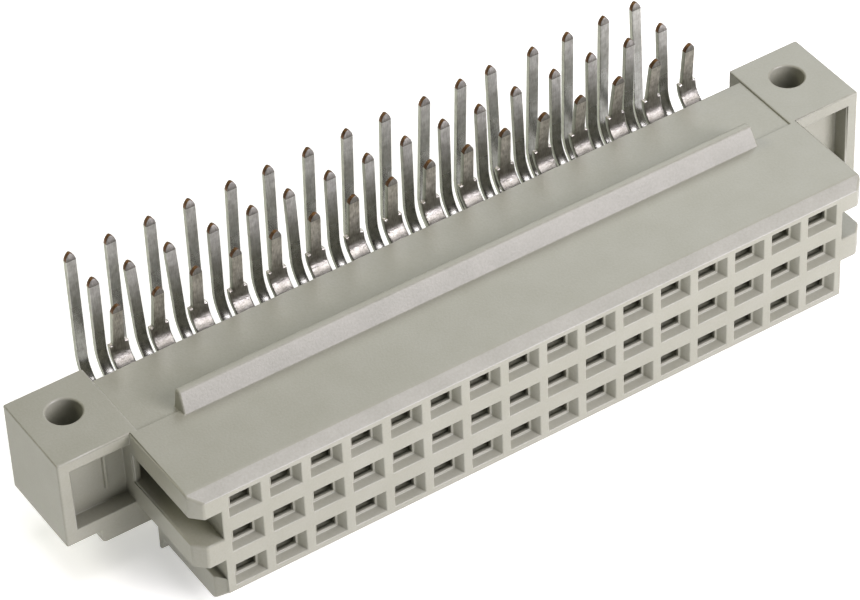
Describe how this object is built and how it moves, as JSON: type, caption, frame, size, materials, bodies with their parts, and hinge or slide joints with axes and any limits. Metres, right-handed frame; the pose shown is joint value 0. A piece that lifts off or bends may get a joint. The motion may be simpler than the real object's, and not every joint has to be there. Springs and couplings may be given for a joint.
{
  "type": "female multi-pin connector",
  "caption": "Right-angle female connector for a circuit board, with three rows of sockets in a grey moulded body, two mounting flanges and bent solder pins.",
  "frame": {"origin": "Midway between the centres of the two mounting holes, in the plane of the flanges' face that lies against the circuit board.", "axes": "+X along the rows of sockets, to the right as seen from the board; the sockets open towards -Y; the solder pins point towards +Z, the way into the board."},
  "size_m": [0.0532, 0.0181, 0.0126],
  "materials": {
    "housing_plastic": "satin, fine moulded grain",
    "tinned_copper_alloy": "dull tin plating, drawn along the strip"
  },
  "bodies": {
    "root": {"insulator_housing": "housing_plastic", "contact_a01": "tinned_copper_alloy", "contact_a02": "tinned_copper_alloy", "contact_a03": "tinned_copper_alloy", "contact_a04": "tinned_copper_alloy", "contact_a05": "tinned_copper_alloy", "contact_a06": "tinned_copper_alloy", "contact_a07": "tinned_copper_alloy", "contact_a08": "tinned_copper_alloy", "contact_a09": "tinned_copper_alloy", "contact_a10": "tinned_copper_alloy", "contact_a11": "tinned_copper_alloy", "contact_a12": "tinned_copper_alloy", "contact_a13": "tinned_copper_alloy", "contact_a14": "tinned_copper_alloy", "contact_a15": "tinned_copper_alloy", "contact_a16": "tinned_copper_alloy", "contact_b01": "tinned_copper_alloy", "contact_b02": "tinned_copper_alloy", "contact_b03": "tinned_copper_alloy", "contact_b04": "tinned_copper_alloy", "contact_b05": "tinned_copper_alloy", "contact_b06": "tinned_copper_alloy", "contact_b07": "tinned_copper_alloy", "contact_b08": "tinned_copper_alloy", "contact_b09": "tinned_copper_alloy", "contact_b10": "tinned_copper_alloy", "contact_b11": "tinned_copper_alloy", "contact_b12": "tinned_copper_alloy", "contact_b13": "tinned_copper_alloy", "contact_b14": "tinned_copper_alloy", "contact_b15": "tinned_copper_alloy", "contact_b16": "tinned_copper_alloy", "contact_c01": "tinned_copper_alloy", "contact_c02": "tinned_copper_alloy", "contact_c03": "tinned_copper_alloy", "contact_c04": "tinned_copper_alloy", "contact_c05": "tinned_copper_alloy", "contact_c06": "tinned_copper_alloy", "contact_c07": "tinned_copper_alloy", "contact_c08": "tinned_copper_alloy", "contact_c09": "tinned_copper_alloy", "contact_c10": "tinned_copper_alloy", "contact_c11": "tinned_copper_alloy", "contact_c12": "tinned_copper_alloy", "contact_c13": "tinned_copper_alloy", "contact_c14": "tinned_copper_alloy", "contact_c15": "tinned_copper_alloy", "contact_c16": "tinned_copper_alloy"}
  },
  "joints": []
}
